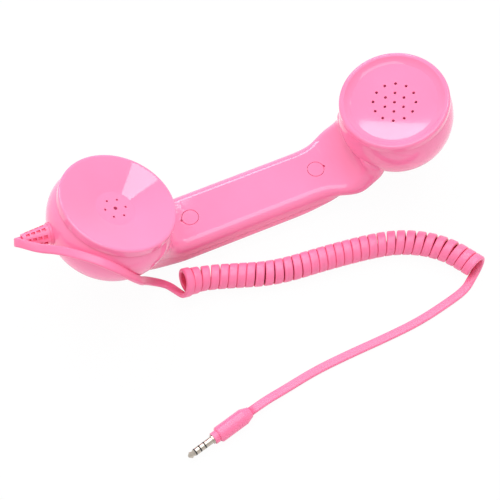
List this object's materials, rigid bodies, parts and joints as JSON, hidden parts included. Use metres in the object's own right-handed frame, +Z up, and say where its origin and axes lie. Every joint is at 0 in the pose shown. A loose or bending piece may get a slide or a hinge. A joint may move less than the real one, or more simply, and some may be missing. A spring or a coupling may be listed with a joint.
{
  "type": "telephone handset",
  "caption": "Retro telephone handset: round capped ear and mouth cups on a bar grip, with a flat curly cord ending in a small audio plug.",
  "frame": {"origin": "on the flat back of the grip, midway between the two caps", "axes": "+X along the grip from the mouth cup to the ear cup, +Z up out of the grip's inner face"},
  "size_m": [0.234, 0.1465, 0.069],
  "materials": {
    "pink_gloss": "high gloss",
    "pink_flexible": "satin",
    "plated_contact": "polished",
    "black_insulator": "matte",
    "screw_steel": "zinc plated",
    "ballast_steel": "rolled",
    "speaker_frame": "matte",
    "magnet_iron": "matte",
    "speaker_film": "clear film",
    "black_rubber": "matte",
    "grey_plastic": "matte",
    "capsule_can": "satin",
    "crimp_brass": "satin",
    "wire_red": "satin",
    "wire_white": "satin"
  },
  "bodies": {
    "handset": {"front_shell": "pink_gloss", "back_shell": "pink_gloss", "strain_relief_boot": "pink_flexible", "cord_tail": "pink_flexible", "curly_cord": "pink_flexible", "cord_lead": "pink_flexible", "plug_grip": "pink_flexible", "plug_sleeve": "plated_contact", "plug_ring_1": "plated_contact", "plug_ring_2": "plated_contact", "plug_tip": "plated_contact", "plug_insulators": "black_insulator", "shell_screws": "screw_steel", "ballast_bar": "ballast_steel", "receiver_frame": "speaker_frame", "receiver_magnet": "magnet_iron", "receiver_cone": "speaker_film", "receiver_gasket": "black_rubber", "mic_holder": "grey_plastic", "mic_boot": "black_rubber", "mic_capsule": "capsule_can", "cord_anchor": "crimp_brass", "receiver_wires": "wire_red", "mic_wires": "wire_white"},
    "ear_cap": {"ear_cap": "pink_gloss"},
    "mouth_cap": {"mouth_cap": "pink_gloss"},
    "ear_cover": {"screw_cover_ear": "pink_gloss"},
    "mouth_cover": {"screw_cover_mouth": "pink_gloss"}
  },
  "joints": [
    {"name": "ear_cap_twist", "type": "hinge", "parent": "handset", "child": "ear_cap", "pos_m": [0.07425, 0, 0.0565], "axis": [-0.1668, 0, 0.986], "range_deg": [0, 30]},
    {"name": "mouth_cap_twist", "type": "hinge", "parent": "handset", "child": "mouth_cap", "pos_m": [-0.07425, 0, 0.0578], "axis": [0.3891, 0, 0.9212], "range_deg": [0, 30]},
    {"name": "ear_cover_pull", "type": "slide", "parent": "handset", "child": "ear_cover", "axis": [0, 0, 1], "range_m": [0, 0.006]},
    {"name": "mouth_cover_pull", "type": "slide", "parent": "handset", "child": "mouth_cover", "axis": [0, 0, 1], "range_m": [0, 0.006]}
  ]
}
